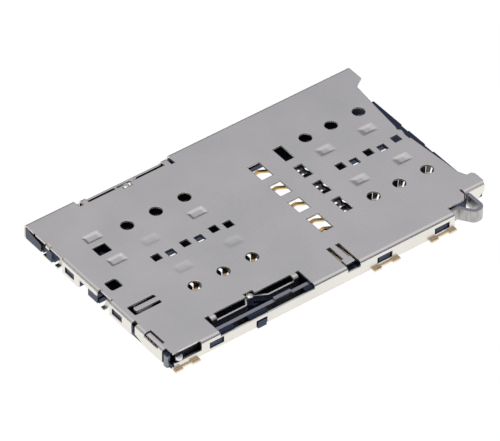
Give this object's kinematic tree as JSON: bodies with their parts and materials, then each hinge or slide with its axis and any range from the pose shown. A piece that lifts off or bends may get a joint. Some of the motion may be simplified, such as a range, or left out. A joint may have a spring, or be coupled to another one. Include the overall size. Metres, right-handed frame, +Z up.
{
  "type": "sim card socket",
  "caption": "Low-profile board-mounted sim card socket for a card tray, with folded steel cover, spring contacts, push rod and eject lever.",
  "frame": {"origin": "centre of the cover in plan, on the underside of the housing floor, which is the plane of the solder feet", "axes": "+X along the socket toward the card mouth, +Y across it away from the push rod side, +Z up away from the board"},
  "size_m": [0.0292, 0.0183, 0.0014],
  "materials": {
    "cover_steel": "satin rolled stainless sheet",
    "housing_plastic": "moulded black plastic",
    "rod_steel": "bright stamped steel strip",
    "contact_gold": "gold plated copper alloy strip"
  },
  "bodies": {
    "socket": {"cover": "cover_steel", "housing": "housing_plastic", "lever_pivot": "rod_steel", "detect_spring": "contact_gold", "detect_terminal": "contact_gold", "ground_terminal": "contact_gold", "rear_sim_contact_1": "contact_gold", "rear_sim_contact_2": "contact_gold", "rear_sim_contact_3": "contact_gold", "rear_sim_contact_4": "contact_gold", "rear_sim_contact_5": "contact_gold", "rear_sim_contact_6": "contact_gold", "front_sim_contact_1": "contact_gold", "front_sim_contact_2": "contact_gold", "front_sim_contact_3": "contact_gold", "front_sim_contact_4": "contact_gold", "front_sim_contact_5": "contact_gold", "front_sim_contact_6": "contact_gold", "memory_contact_1": "contact_gold", "memory_contact_2": "contact_gold", "memory_contact_3": "contact_gold", "memory_contact_4": "contact_gold", "memory_contact_5": "contact_gold", "memory_contact_6": "contact_gold", "memory_contact_7": "contact_gold", "memory_contact_8": "contact_gold"},
    "rod": {"push_rod": "rod_steel"},
    "lever": {"eject_lever": "rod_steel"}
  },
  "joints": [
    {"name": "rod_slide", "type": "slide", "parent": "socket", "child": "rod", "axis": [1, 0, 0], "range_m": [0, 0.0013]},
    {"name": "lever_turn", "type": "hinge", "parent": "socket", "child": "lever", "pos_m": [-0.01305, -0.00462, 0.0009], "axis": [0, 0, 1], "range_deg": [0, 21.34]}
  ],
  "couplings": [
    {"joint": "lever_turn", "follows": "rod_slide", "rad_per_m": 286.5}
  ]
}
